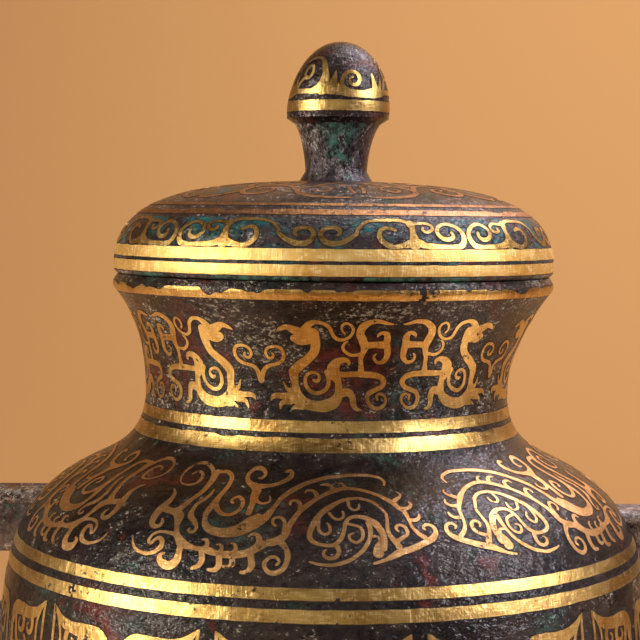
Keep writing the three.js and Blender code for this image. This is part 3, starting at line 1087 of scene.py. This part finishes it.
# Shoulder frieze: a dragon on the left of each cell that trails into a scrolled bird on the right
shoulderFrieze = {
    "start": -76.5,
    "drawn": 83.5,
    "bold": 0.9,
    "metal": "agedInlay",
    "firstAxis": -38.7,
    "widths": [60] * 6,
    "strokes": [
        # curl over the head
        [(14.5, 36.3, 1.6), (12.5, 38.3, 1.4), (9.5, 39.6, 1.4), (6.2, 39.2, 1.2), (4, 37.3, 1.2),
         (3.5, 34.5, 1), (4.8, 31.8, 0.7), (7, 30.1, 0.6), (9.5, 29.7, 0.9), (11.5, 30.8, 1.3),
         (12, 33, 1.4), (11.2, 35, 1.2), (9.7, 36, 1), (8, 35.8, 0.9), (7.3, 34.8, 0.8)],
        # trunk and the loop behind it
        [(15.7, 36.3, 3), (16.2, 33, 2.4), (16.4, 30, 2), (16.1, 27, 1.8), (15.2, 24.5, 1.6),
         (14.2, 22, 1.8), (13.4, 20, 2.2), (12.5, 18.8, 2.4)],
        [(15.7, 36.6, 1.8), (18, 37, 1.5), (20, 36.9, 1.5), (22, 35.5, 1.5), (23, 32.5, 1.6),
         (23, 29, 1.6), (22.6, 26, 1.7), (22.5, 23.5, 2.4), (21.8, 20, 2), (22, 17, 1.4), (23.2, 14.6, 2),
         (25.5, 13.2, 2.8), (29, 12.8, 3.2), (32.5, 14, 4.2), (35.4, 16.8, 5.4)],
        # stem and the curl on it
        [(33.4, 20, 1.8), (33.4, 24, 1.8), (33.1, 27, 2.6), (32.8, 30, 3.2), (31.5, 31.8, 3),
         (30, 32.6, 2.2), (28.3, 34.3, 1.5), (27.6, 36.5, 1.5), (28.6, 38.6, 1.6), (30.7, 39.3, 1.7),
         (32.6, 38.5, 1.5), (33.4, 36.8, 1.3), (32.7, 35.3, 1.1), (31.7, 35.3, 0.8)],
        [(33, 31.6, 3), (35.5, 32, 1.8), (38, 32.8, 1.6), (40.2, 34.2, 1.8), (42.2, 36.2, 2),
         (42.5, 37.8, 1.6), (41.5, 38.7, 1.3), (40.2, 38.4, 0.9)],
        # long outer sweep
        [(37, 18, 5), (38.4, 19, 2.6), (39.8, 22.5, 1.4), (40.6, 25, 1.5), (41.7, 27.6, 2), (43.5, 30, 2.2),
         (46, 32.5, 2), (49, 34.4, 1.8), (53, 36, 1.5), (58, 36.9, 1.3), (63, 37.4, 1.3), (68, 37.3, 1.2),
         (71.5, 36.3, 1.1), (73, 34.6, 1), (72.6, 32.8, 0.7)],
        # spirals inside the bowl
        [(23, 22.3, 2), (24.5, 20.3, 1.5), (26.4, 19, 1.3), (28.5, 19, 1.2), (30.2, 20.5, 1.2),
         (30.8, 22.8, 1.3), (30.1, 25, 1.3), (28.5, 26.3, 1.2), (27.2, 25.4, 1), (27, 24.2, 0.9),
         (27.8, 23.6, 0.9)],
        [(33.8, 26, 1.5), (34.7, 24.6, 1.2), (36.2, 24, 1), (37.6, 24.6, 0.9), (38.1, 25.8, 0.7),
         (37.6, 27.3, 0.4)],
        # left horn and the chain of scallops under the body
        [(6, 27.3, 0.4), (7.6, 25.5, 1.2), (8.2, 23.5, 1.6), (8, 21, 2.4), (7.4, 18.5, 3), (7.2, 15.8, 2.2),
         (7.8, 13.4, 1.8), (9.3, 12.6, 1.6), (10.5, 13.3, 1.2), (10.6, 14.6, 0.9), (10, 15.5, 0.6)],
        [(8.5, 19, 2.6), (10.7, 18.5, 2.2), (12.7, 18.2, 2.8), (14.4, 16.8, 3.2), (15.4, 13.5, 1.5),
         (16.6, 11, 1.5), (18.4, 9.2, 2.2), (20.2, 8, 2.2), (22.4, 7.5, 1.4), (24.6, 7.4, 1.6),
         (26, 7.2, 2.2), (28.5, 6.4, 1.6), (31, 6.4, 2.2), (33.5, 6.6, 2.4), (36, 7.4, 2.4), (38, 9, 2.6),
         (40, 10.4, 2.2), (42.2, 11, 2.6), (44.2, 13, 2), (44.8, 16, 1.8), (46, 19, 1.6),
         (47.2, 21.5, 1.6), (48.6, 23.5, 1.8), (50.6, 26, 1.6), (53, 28.2, 1.6), (56.5, 30.4, 1.9),
         (59.5, 31.6, 1.6), (63, 31.4, 1.4), (67, 30, 1.4), (70, 28, 1.4), (72.6, 25.5, 2),
         (74, 23.2, 1.5), (75.4, 21, 1.4), (75.8, 18, 0.9), (76.2, 15.5, 0.9), (77.2, 13.6, 1.2),
         (78.6, 12, 1.6)],
        [(19.4, 28.6, 0.5), (19.4, 26.5, 1.2), (18.6, 24, 1.3), (17.5, 22, 1.3), (17.3, 19.5, 1.4),
         (17.7, 17.5, 2), (19.6, 15.6, 1.5), (20.8, 14, 1), (20.8, 12.4, 0.9), (19.8, 12, 0.8),
         (19, 12.7, 0.7), (19.2, 13.3, 0.4)],
        # cloud at the lower left
        [(4.4, 8.4, 0.3), (5.2, 6.6, 0.7), (7, 5.2, 0.9), (9.5, 4.5, 1.1), (12, 5, 1.4), (13.4, 6.8, 1.6),
         (13.2, 8.6, 1.4), (12, 9.4, 1.2), (11, 8.6, 1), (10.2, 7.5, 1.1), (9.4, 8.2, 1), (9.8, 10, 0.9),
         (11.5, 11.2, 1), (14, 11.3, 1), (16.2, 10.7, 1.3), (18, 8.7, 2)],
        [(18.7, 8.6, 2), (18.8, 6, 1.8), (18.8, 3.8, 2.2), (17.6, 2.2, 2.6), (15.7, 2.2, 2.6),
         (14.4, 3.2, 1.8), (14.1, 4.6, 1.2), (15, 5.1, 0.8)],
        # hooks that hang from the chain
        [(24.5, 6.6, 1.4), (25.1, 4.6, 1.6), (24.6, 2.8, 1.5), (23.2, 1.9, 1)],
        [(29.2, 5.6, 1.6), (29.5, 3.4, 1.7), (28.7, 2, 1.5), (27.2, 1.9, 0.9)],
        [(32.4, 5.4, 1.4), (32.6, 3.8, 1.5), (31.6, 2.9, 1.2), (30.6, 3.1, 0.7)],
        [(36.6, 6.6, 1.8), (37.2, 4, 1.8), (36.4, 2.1, 1.4), (35, 1.8, 0.9)],
        # hooks that stand on it
        [(25, 7.6, 1.6), (25.4, 9, 1.2), (24.8, 10.2, 1), (23.8, 10.2, 0.5)],
        [(29, 7, 1.4), (29.4, 8.2, 1.1), (28.8, 9.1, 0.8), (28, 9.1, 0.4)],
        [(32.4, 7, 1.5), (32.8, 8.4, 1.1), (32.2, 9.6, 0.8), (31.3, 9.8, 0.4)],
        [(37, 8.4, 1.8), (38.1, 10.6, 1.7), (37.4, 12.6, 1.3), (36, 12.9, 1), (35.3, 12.1, 0.6)],
        # spirals between dragon and bird
        [(43.5, 10.6, 2), (44.8, 8.8, 1.4), (45.4, 6.5, 1.4), (44.8, 3.8, 1.4), (43, 2.1, 1.4),
         (41, 2.5, 1.2), (40.1, 4.4, 1.1), (41.1, 6.2, 1), (42.6, 6.4, 0.9), (43.5, 5.3, 0.8),
         (43, 4.4, 0.8)],
        [(44, 13, 1.6), (43.8, 15.4, 1.2), (43.4, 17.6, 1), (42.2, 19, 1), (40.7, 18.6, 0.9),
         (40.4, 17, 0.8), (41.4, 16, 0.8)],
        # hooks on the bird's crest
        [(47.2, 22.5, 1.8), (46.8, 24.6, 1.4), (45.6, 25.8, 1.2), (44.2, 25.4, 1), (44.1, 24, 0.7)],
        [(51.4, 27, 1.8), (51.2, 29, 1.5), (50, 30.4, 1.3), (48.2, 30.4, 1), (47.8, 29.4, 0.5)],
        [(56.6, 30.6, 1.8), (55.8, 32.4, 1.5), (54.2, 33.4, 1.2), (52.4, 33.2, 0.6)],
        [(60, 31.6, 1.8), (59.8, 33, 1.2), (59, 34, 0.8), (58, 34, 0.4)],
        [(74, 26, 1.6), (75.8, 27.2, 1), (76.4, 28.6, 0.7), (75.6, 29.6, 0.4)],
        [(75.2, 22.2, 1.8), (77, 22.6, 1.2), (78.2, 24, 1), (77.8, 25, 0.6)],
        [(76.4, 18, 1.4), (77.8, 18, 1.2), (79, 19, 0.9), (79.2, 20, 0.5)],
        # right lower scrolls
        [(65.3, 5, 0.7), (68, 5.9, 1), (71, 7.6, 2.2), (74, 8.6, 2), (77.5, 10, 1.8), (80.5, 11.6, 1.8),
         (82, 13.6, 1.3), (81.4, 15.7, 1.1), (79.8, 16.1, 1), (78.9, 15.1, 0.8), (79.4, 14.4, 0.5)],
        [(70.2, 20.5, 0.8), (69.9, 17, 0.9), (69.7, 14, 1.2), (70.6, 11.6, 1.4), (71.6, 9.6, 2)],
        [(71.2, 11.2, 1.4), (72.8, 12, 1.2), (74.4, 13.4, 1.1), (74.3, 15.4, 1.1), (73, 16.4, 1),
         (71.9, 15.8, 0.9), (71.9, 14.8, 0.7), (72.3, 14.3, 0.5)],
        # the bird's coiled body
        [(70, 21, 0.9), (68, 24.6, 1.1), (65.5, 26.4, 1.2), (62.5, 27, 1.3), (59.5, 26.4, 1.4),
         (57, 25, 1.6), (54.8, 23, 1.9), (52.6, 20.4, 1.9), (51.1, 17.4, 1.8), (50.3, 14.6, 1.5),
         (50.4, 12.2, 1.4), (51.6, 10.8, 1.2), (53.8, 10.2, 1.1), (56.2, 10.4, 1.3), (57.8, 12, 1.2),
         (58.6, 14.5, 1.1), (59, 17, 1.1), (60.2, 19, 1.2), (62.5, 19.7, 1.3), (64.8, 18.9, 1.7),
         (66.8, 17, 2.2), (68, 14.4, 2), (68.4, 11.6, 1.5), (67.9, 9, 1.6)],
        [(66.5, 7.8, 3), (66.6, 9.4, 2.2), (67.3, 11.4, 1), (66.7, 12.8, 0.9), (65.5, 12.8, 0.8)],
        [(59.2, 17.2, 1), (60.8, 16.7, 0.9), (62.6, 15.9, 0.9), (63.3, 14, 0.9), (62.8, 12, 0.9),
         (61.4, 11, 0.9), (60, 11.9, 0.8), (59.9, 13.4, 0.7), (60.9, 13.9, 0.6)],
        [(52.3, 18.8, 1), (52.2, 16.4, 0.9), (52.4, 14.6, 0.9), (53.8, 13.5, 0.9), (55.1, 14.4, 0.9),
         (55.2, 16, 0.8), (54.4, 17.2, 0.6)],
        [(55, 21, 1), (56, 19.2, 0.9), (57.6, 18.6, 0.9), (58.8, 19.8, 0.8), (58.6, 21.5, 0.7)],
        [(60.4, 25.6, 1), (60.4, 23.6, 0.9), (61.6, 22.2, 0.8), (63, 22.8, 0.8), (63.4, 24.4, 0.6)],
        [(56.6, 10.4, 1.4), (57.2, 8.6, 1.2), (56.6, 6.9, 1.2), (55.2, 6.4, 1.1), (53.8, 7, 1),
         (53.6, 8.2, 0.7), (54.3, 8.9, 0.4)],
        [(50.4, 5.4, 0.4), (53, 4.7, 0.9), (56, 4.6, 1), (59, 5.6, 1.1), (61.5, 7.3, 1.1), (63.6, 9.6, 1.1),
         (64.8, 12.4, 1.1), (65.2, 15, 1.4), (65, 17.4, 1.6)],
    ],
}

# Lid frieze: scrolls on short stems that stand on the gold edge
lidFrieze = {
    "start": 6.9,
    "rise": 0.86,
    "bold": 1.2,
    "drawn": 42.95,
    "firstAxis": -4.2,
    "widths": [38.4, 38.4, 34.4, 34.4, 34.4, 34.4, 34.4, 34.4, 38.4, 38.4],
    "strokes": [
        [(26.4, 2.6, 3), (26.3, 6, 1.5), (26.3, 8, 1.5), (26, 9.6, 2.2)],
        [(26.5, 3.2, 2.4), (23.2, 1.9, 1.2), (20.2, 1.5, 1), (18.1, 2.6, 1.2), (16.8, 4.8, 1.2),
         (17.3, 7.2, 1), (18.9, 8.1, 1), (20.7, 7.6, 0.8), (21.5, 7.1, 0.6)],
        [(26.5, 3.2, 2.4), (29.7, 2, 1.4), (33.7, 1.6, 1), (37.7, 1.5, 1), (40.7, 2, 1.4), (42, 4.5, 1.3),
         (41.6, 7, 1.1), (39.7, 9, 0.9), (37.1, 9.8, 0.9), (34.5, 8.6, 0.9), (33.7, 6.4, 1), (34.9, 4.4, 1),
         (36.9, 4, 1), (38.5, 5, 0.9), (38.3, 6.4, 0.8)],
        [(26.1, 9.6, 1.6), (24.7, 10.6, 1), (22.3, 11.3, 1), (18.2, 11.3, 0.8), (14.7, 10.8, 0.8),
         (12.7, 9.8, 0.8), (10.9, 7.4, 0.8), (10.5, 5.8, 1), (8.7, 4, 1.1), (6.2, 2.6, 1.2),
         (3.3, 2.4, 1.3), (1.3, 4, 1.2), (1, 6, 1.1), (2.1, 7.6, 1), (4.3, 8, 1), (5.9, 7.2, 1.2),
         (6.1, 5.8, 0.9), (5.5, 5.2, 0.6)],
        [(26.7, 9.8, 1.2), (28.2, 9.9, 0.7), (30.7, 10, 0.7), (32.5, 9, 0.8), (32.3, 7.4, 0.8),
         (30.5, 6.6, 0.8), (29.3, 7.4, 0.7), (29.7, 8.2, 0.5)],
    ],
}

# Top of the lid: broad scrolls that narrow towards the stem, in the darkened coppery metal, a painted shade.
# Across is counted at a radius of 50
domeFrieze = {
    "start": 20.4,
    "drawn": 52.36,
    "firstAxis": 8,
    "widths": [60] * 6,
    "metal": "paintedShadeCopperInlay",
    "strokes": [
        [(3, 2.2, 0.6), (8, 2.4, 1.4), (14, 3.6, 1.8), (18.5, 7, 1.8), (19.4, 11.4, 1.6),
         (16.6, 15.2, 1.5), (12, 15.8, 1.4), (8.8, 12.8, 1.3), (9.6, 9.2, 1.2), (12.6, 8, 1),
         (14.4, 10, 0.9), (13, 11.6, 0.8)],
        [(20.6, 11, 1.6), (24, 15.4, 1.8), (28.6, 18, 2), (34, 17.6, 2), (38, 14.2, 1.9), (38.8, 9.4, 1.8),
         (35.6, 5.6, 1.6), (30.8, 5.4, 1.5), (28, 8.8, 1.4), (29.6, 12.4, 1.2), (33, 12.6, 1),
         (33.8, 10, 0.9)],
        [(39.4, 7.6, 1.6), (43.6, 3.8, 1.6), (48.4, 2.2, 1.3), (51.4, 3.4, 0.8)],
        [(40.4, 14.4, 1.6), (44.6, 17.8, 2.2), (48.6, 22.8, 2.6), (49.4, 28.4, 2.6), (46, 32, 2.4)],
        [(24.6, 17, 1.6), (22.6, 21.8, 2.2), (24.4, 27, 2.6), (29.4, 30, 3), (35, 28, 3),
         (36.6, 23.6, 2.4)],
        [(14.6, 17, 1.4), (11.6, 21.4, 2), (7.4, 24.2, 2.4), (3.6, 28.6, 2.6)],
        [(1.4, 6.4, 1), (2.2, 11.6, 1.4), (2.4, 17, 1.6), (5.6, 19.4, 1.2)],
    ],
}

# Belly panels: frames with one pointed and one rounded corner, and volutes that hang inside.
# Across is counted from the axis between two pointed corners, up from just above the panels' middle
bellyFrieze = {
    "start": -105.0,
    "drawn": 27.3,
    "firstAxis": -18.0,
    "widths": [360 / 22] * 22,
    "strokes": [
        [(2.3, 15.6, 0.5), (2.7, 12, 1.1), (2.9, 6, 1.1), (2.9, -2, 1.1), (2.8, -10, 1.1), (2.9, -17, 1.4),
         (5, -19.6, 1.8), (9, -20, 1.8), (14, -19.6, 1.8), (19, -20, 1.8), (23, -19, 2), (24.4, -15, 2),
         (24.3, -8, 1.8), (24.3, 0, 1.9), (24.2, 5.4, 2.6), (23.4, 8.6, 3.6), (21, 10.4, 4.2),
         (17, 10.8, 3.8), (12, 10.8, 3.4), (8, 11.5, 3), (5, 13.1, 2), (2.6, 15.4, 0.6)],
        [(4.4, 13.2, 1), (6, 9.6, 1), (6.4, 5, 1), (6.2, 0, 1), (6.6, -5, 1.1)],
        [(9.4, 10.2, 1.8), (8.8, 7.6, 1.6), (9.8, 5.6, 1.4), (11.6, 5.6, 1.2), (12.2, 7.2, 0.9),
         (11.3, 8, 0.6)],
        [(15.5, 10, 2.2), (14.6, 7.6, 1.8), (15.4, 5.4, 1.6), (17.4, 5, 1.4), (18.6, 6.6, 1.1),
         (17.8, 8, 0.8)],
        [(21.6, 9.6, 2.4), (20.8, 6, 1.8), (20, 2.4, 1.6), (17.6, 0.2, 1.6), (14.6, 0.6, 1.5),
         (13, 2.8, 1.2), (14, 4.2, 0.8)],
        [(6.4, -4.6, 1.6), (9, -6.8, 1.8), (12, -6.6, 1.8), (14.2, -4.6, 1.6), (13.2, -2.4, 1.2),
         (11, -2.2, 1), (10.2, -3.8, 0.8)],
        [(23.8, -6, 1.8), (20.6, -6.4, 1.8), (18, -8.4, 1.8), (17.6, -11.4, 1.6), (19.6, -13, 1.4),
         (21, -11.6, 1.1), (20.2, -10.4, 0.8)],
        [(3.2, -13, 1.6), (6, -14.4, 1.6), (9, -13.6, 1.6), (10.8, -11, 1.5), (9.4, -9.2, 1.2),
         (7.6, -9.8, 0.9)],
        [(13.6, -19, 1.8), (13.2, -16, 1.6), (14.4, -13.6, 1.4), (13.6, -11.6, 1), (12.4, -11.2, 0.6)],
    ],
}

# Knob: eye, flame, spike, ring and horn that grow from an uneven band. Across is counted round a radius
# of 15
knobFrieze = {
    "start": 45,
    "drawn": 31.4,
    "firstAxis": -60,
    "widths": [120] * 3,
    "oneWay": True,
    "strokes": [
        # band
        [(-0.4, 8.2, 1.6), (4, 8.15, 1.4), (7, 8.1, 1.6), (9.4, 8.8, 3), (13.4, 8.9, 3.8), (16, 8.4, 3.4),
         (19.5, 7.5, 2.3), (23, 7.3, 2.2), (27.3, 7.8, 3.2), (29.6, 7.8, 2.4), (31.8, 8.2, 1.6)],
        # flame that arches over to the left
        [(10.2, 9, 4.2), (10.8, 12, 2.6), (10.6, 14, 2.1), (9.8, 16.4, 2), (8.2, 18.4, 1.3),
         (5.8, 19.3, 0.9), (3.2, 19, 0.7), (1, 17.8, 0.5)],
        # spike
        [(13.5, 9.5, 3.4), (13.9, 12, 1.8), (14.1, 14.4, 0.2)],
        # ring
        [(16.3, 8.6, 1.8), (16.4, 11, 1.4), (17.3, 13.2, 1.3), (19.3, 14.3, 1.3), (21.3, 13.6, 1.2),
         (22.1, 12, 1.2), (21.4, 10.5, 1.1), (19.9, 10.1, 1), (18.9, 10.9, 0.9), (19, 12, 0.9),
         (19.9, 12.4, 0.6)],
        # eye and its tail
        [(5.9, 14.2, 1), (5.3, 15.8, 1), (4.1, 16.4, 1), (2.9, 15.8, 1), (2.3, 14.2, 1),
         (2.9, 12.7, 1), (4.1, 12.2, 1), (5.3, 12.7, 1), (5.9, 14.2, 1)],
        [(2.9, 12.6, 1.1), (1.8, 11.4, 1.1), (0.8, 10, 1.3), (0.2, 8.8, 1)],
        # horn
        [(27.9, 8.4, 3.4), (27.5, 11, 1.8), (27.2, 13.6, 0.8)],
        [(29.4, 8.4, 2), (30.4, 10.2, 1.4), (31, 12.6, 0.3)],
    ],
}

for name, strip, frieze in (
    ("neckFrieze", wallStrip, neckFrieze),
    ("shoulderFrieze", wallStrip, shoulderFrieze),
    ("lidFrieze", domeStrip, lidFrieze),
    ("domeFrieze", domeStrip, domeFrieze),
    ("bellyFrieze", wallStrip, bellyFrieze),
    ("knobFrieze", knobStrip, knobFrieze),
):
    layFrieze(name, strip, frieze)


# Plain bands round the jar, with heights from the joint. An uneven one is eaten away along its upper edge,
# and a broken one has gaps between the given angles in degrees
bands = [
    # the lid's edge bands take the paler gold, whose paleness is painted highlight
    {"name": "lidEdgeLow", "strip": domeStrip, "low": 0.2, "high": 3.2, "metal": "paintedHighlightInlay"},
    {"name": "lidEdgeHigh", "strip": domeStrip, "low": 4.2, "high": 7.4, "metal": "paintedHighlightInlay"},
    # the bands on the lid's top take the darkened coppery metal, a painted shade
    {"name": "domeLow", "strip": domeStrip, "low": 16.5, "high": 17.9, "eaten": 0.8, "metal": "paintedShadeCopperInlay"},
    {"name": "domeHigh", "strip": domeStrip, "low": 18.9, "high": 19.6, "metal": "paintedShadeCopperInlay"},
    {"name": "rim", "strip": wallStrip, "low": -6.3, "high": -3.5, "eaten": 1.7,
     "gaps": ((20.5, 22.5), (131, 134))},
    {"name": "neckHigh", "strip": wallStrip, "low": -43, "high": -39.8},
    {"name": "neckLow", "strip": wallStrip, "low": -48.2, "high": -44.4, "eaten": 0.5},
    {"name": "shoulderHigh", "strip": wallStrip, "low": -80.9, "high": -78},
    {"name": "shoulderLow", "strip": wallStrip, "low": -86.4, "high": -83.1,
     "gaps": ((-46.4, -45.3), (101, 103))},
    {"name": "bellyHigh", "strip": wallStrip, "low": -132.4, "high": -129.4},
    {"name": "bellyLow", "strip": wallStrip, "low": -137.6, "high": -134.4},
    {"name": "foot", "strip": footStrip, "low": -228.6, "high": -225.4},
    {"name": "knobEdge", "strip": knobStrip, "low": 47.1, "high": 50.2},
]

bandStyle = {
    "steps": 600,
    "rows": 5,
    "edgeNoise": 0.13,
    "biteGain": 1.4,
    "deepestBite": 0.7,  # as a share of the band's height
    "gapNoise": 1.6,  # how many degrees a break's side wanders
}


# The break runs ragged across the band's rows
def isGap(angle, row, gaps):
    wander = noise.noise(Vector((angle * 9, row * 0.9, 0.5)))
    degrees = math.degrees(angle) + bandStyle["gapNoise"] * wander
    return any(low < degrees < high for low, high in gaps)


# One column of a band's points, from its lower to its upper edge
def bandColumn(band, angle, start, end, grow, lift):
    ring = Vector((math.sin(angle), math.cos(angle), 0))
    lower = noise.noise(ring * 19 + Vector((0, 0, band["low"]))) * bandStyle["edgeNoise"]
    upper = noise.noise(ring * 21 + Vector((0, 0, band["high"]))) * bandStyle["edgeNoise"]
    bite = max(0, noise.noise(ring * 7) + 0.5 * noise.noise(ring * 24)) * band.get("eaten", 0)
    upper -= min(bite * bandStyle["biteGain"], (end - start) * bandStyle["deepestBite"])
    bottom = start - grow / 2 + lower
    reach = end - start + grow + upper - lower
    return [onSurface(band["strip"], angle, bottom + reach * row / bandStyle["rows"], lift)
            for row in range(bandStyle["rows"] + 1)]


def layBand(band):
    start = lengthAt(band["strip"], band["low"])
    end = lengthAt(band["strip"], band["high"])
    steps = bandStyle["steps"]
    rows = bandStyle["rows"]
    for part, lift, grow, material, slot in inlaySheets(band.get("metal", "goldInlay")):
        corners = []
        for i in range(steps):
            corners.extend(bandColumn(band, turn * i / steps, start, end, grow, lift))
        faces = []
        for i in range(steps):
            middle = math.remainder(turn * (i + 0.5) / steps, turn)
            for row in range(rows):
                if part == "Gold" and isGap(middle, row, band.get("gaps", ())):
                    continue
                a = i * (rows + 1) + row
                b = (a + rows + 1) % len(corners)
                faces.append((a, b, b + 1, a + 1))
        piece = makePiece(band["name"] + "Band" + part, corners, faces)
        thicken(piece)
        finishPiece(piece, material, slot)


for band in bands:
    layBand(band)
print("bands laid")

# Colours are shown as they are set, without a film's curve
bpy.context.scene.view_settings.view_transform = "Standard"

# Camera at the photograph's place
cameraView = {
    "place": (0, -0.5324, 0.2461),
    "yaw": -0.235,
    "pitch": -3.44,
    "roll": 0.63,
    "lens": 98.9,
    "sensor": 36,
}


def makeCamera():
    c = cameraView
    yaw, pitch, roll = (math.radians(c[key]) for key in ("yaw", "pitch", "roll"))
    ahead = Vector((math.sin(yaw) * math.cos(pitch), math.cos(yaw) * math.cos(pitch), math.sin(pitch)))
    level = Vector((math.cos(yaw), -math.sin(yaw), 0))
    upright = level.cross(ahead)
    right = math.cos(roll) * level + math.sin(roll) * upright
    up = -math.sin(roll) * level + math.cos(roll) * upright
    data = bpy.data.cameras.new("camera")
    data.lens = c["lens"]
    data.sensor_width = c["sensor"]
    camera = bpy.data.objects.new("camera", data)
    bpy.context.scene.collection.objects.link(camera)
    turned = Matrix((right, up, -ahead)).transposed().to_4x4()
    camera.matrix_world = Matrix.Translation(c["place"]) @ turned
    bpy.context.scene.camera = camera


makeCamera()

# Stage: a warm floor that sweeps up behind the jar
stageShape = {
    "width": 16,
    "front": 8,
    "back": 2.0,
    "height": 3.2,
    "leanBack": 0.4,
    "sweep": 0.9,  # how far the curve between the floor and the wall reaches
    "sweepSteps": 16,
    "tone": (0.75, 0.42, 0.175),
    "roughness": 0.9,
}


# The edges across the stage where its back begins
def selectBackEdge(floor, back):
    bpy.ops.object.mode_set(mode="OBJECT")
    for edge in floor.data.edges:
        edge.select = all(abs(floor.data.vertices[i].co.y - back) < 0.01 for i in edge.vertices)
    bpy.ops.object.mode_set(mode="EDIT")


def makeStage():
    s = stageShape
    deselectAll()
    bpy.ops.mesh.primitive_plane_add(size=1)
    floor = bpy.context.active_object
    floor.name = "floor"
    floor.scale = (s["width"], s["front"] + s["back"], 1)
    floor.location = (0, (s["back"] - s["front"]) / 2, 0)
    bpy.ops.object.transform_apply(location=True, rotation=True, scale=True)
    bpy.ops.object.mode_set(mode="EDIT")
    bpy.ops.mesh.select_all(action="DESELECT")
    selectBackEdge(floor, s["back"])
    bpy.ops.mesh.select_mode(type="EDGE")
    rise = (0, s["leanBack"], s["height"])
    bpy.ops.mesh.extrude_region_move(TRANSFORM_OT_translate={"value": rise})
    selectBackEdge(floor, s["back"])
    bpy.ops.mesh.bevel(offset=s["sweep"], segments=s["sweepSteps"], affect="EDGES")
    bpy.ops.object.mode_set(mode="OBJECT")
    smoothByAngle(floor, sharpness["stage"])
    paper = newMaterial("palePaper")
    setShader(paper, Base_Color=(*s["tone"], 1), Roughness=s["roughness"])
    floor.data.materials.append(paper)


makeStage()

# Soft lights: two tall ones at the sides make the long bright streaks, a cool one behind the right
# shoulder gives the sheen, a weak one behind the camera brightens the lid's edge, and two that lie on the
# floor like reflector cards, turned by the given degrees, light the neck from below. The last one lights
# the backdrop. A light without an aim of its own points at the shared one
lightAim = (0, 0, 0.19)
lights = [
    {"name": "leftPanel", "place": (-1.05, -0.50, 0.50), "size": (0.30, 1.1), "power": 1.75,
     "tone": (1, 0.90, 0.78), "spread": 42},
    {"name": "rightPanel", "place": (1.05, -0.36, 0.85), "size": (0.32, 1.4), "power": 2.1,
     "tone": (0.98, 0.93, 1), "spread": 42},
    {"name": "sheenPanel", "place": (0.62, 0.48, 1.15), "size": (0.30, 0.52), "power": 0.66,
     "tone": (0.90, 0.80, 1), "spread": 50},
    {"name": "frontPanel", "place": (-0.10, -1.30, 0.48), "size": (1.4, 0.26), "power": 0.14,
     "tone": (1, 0.93, 0.80), "spread": 50},
    {"name": "leftCard", "place": (-0.357, -0.13, 0.004), "size": (0.17, 0.45), "power": 0.32,
     "tone": (1, 0.95, 0.86), "turned": -70},
    {"name": "rightCard", "place": (0.355, -0.06, 0.004), "size": (0.12, 0.40), "power": 0.30,
     "tone": (1, 0.95, 0.95), "turned": 80},
    {"name": "backdropLight", "place": (0.7, 0.9, 1.9), "size": (2.0, 0.8), "power": 36,
     "tone": (1, 0.93, 0.84), "aim": (0, 2, 0.6)},
]


room = {"tone": (1.0, 0.70, 0.42), "strength": 0.05}


def makeLights():
    for entry in lights:
        data = bpy.data.lights.new(entry["name"], "AREA")
        data.shape = "RECTANGLE"
        data.size, data.size_y = entry["size"]
        data.energy = entry["power"]
        data.color = entry["tone"]
        data.spread = math.radians(entry.get("spread", 180))
        lamp = bpy.data.objects.new(entry["name"], data)
        bpy.context.scene.collection.objects.link(lamp)
        lamp.location = entry["place"]
        lamp.visible_camera = False
        if "turned" in entry:
            lamp.rotation_euler = (math.pi, 0, math.radians(entry["turned"]))
            continue
        target = Vector(entry.get("aim", lightAim))
        lamp.rotation_mode = "QUATERNION"
        lamp.rotation_quaternion = (target - lamp.location).to_track_quat("-Z", "Y")


def makeRoom():
    world = bpy.data.worlds.new("room")
    world.use_nodes = True
    background = world.node_tree.nodes["Background"]
    background.inputs["Color"].default_value = (*room["tone"], 1)
    background.inputs["Strength"].default_value = room["strength"]
    bpy.context.scene.world = world


makeLights()
makeRoom()
print("camera, stage and lights set")
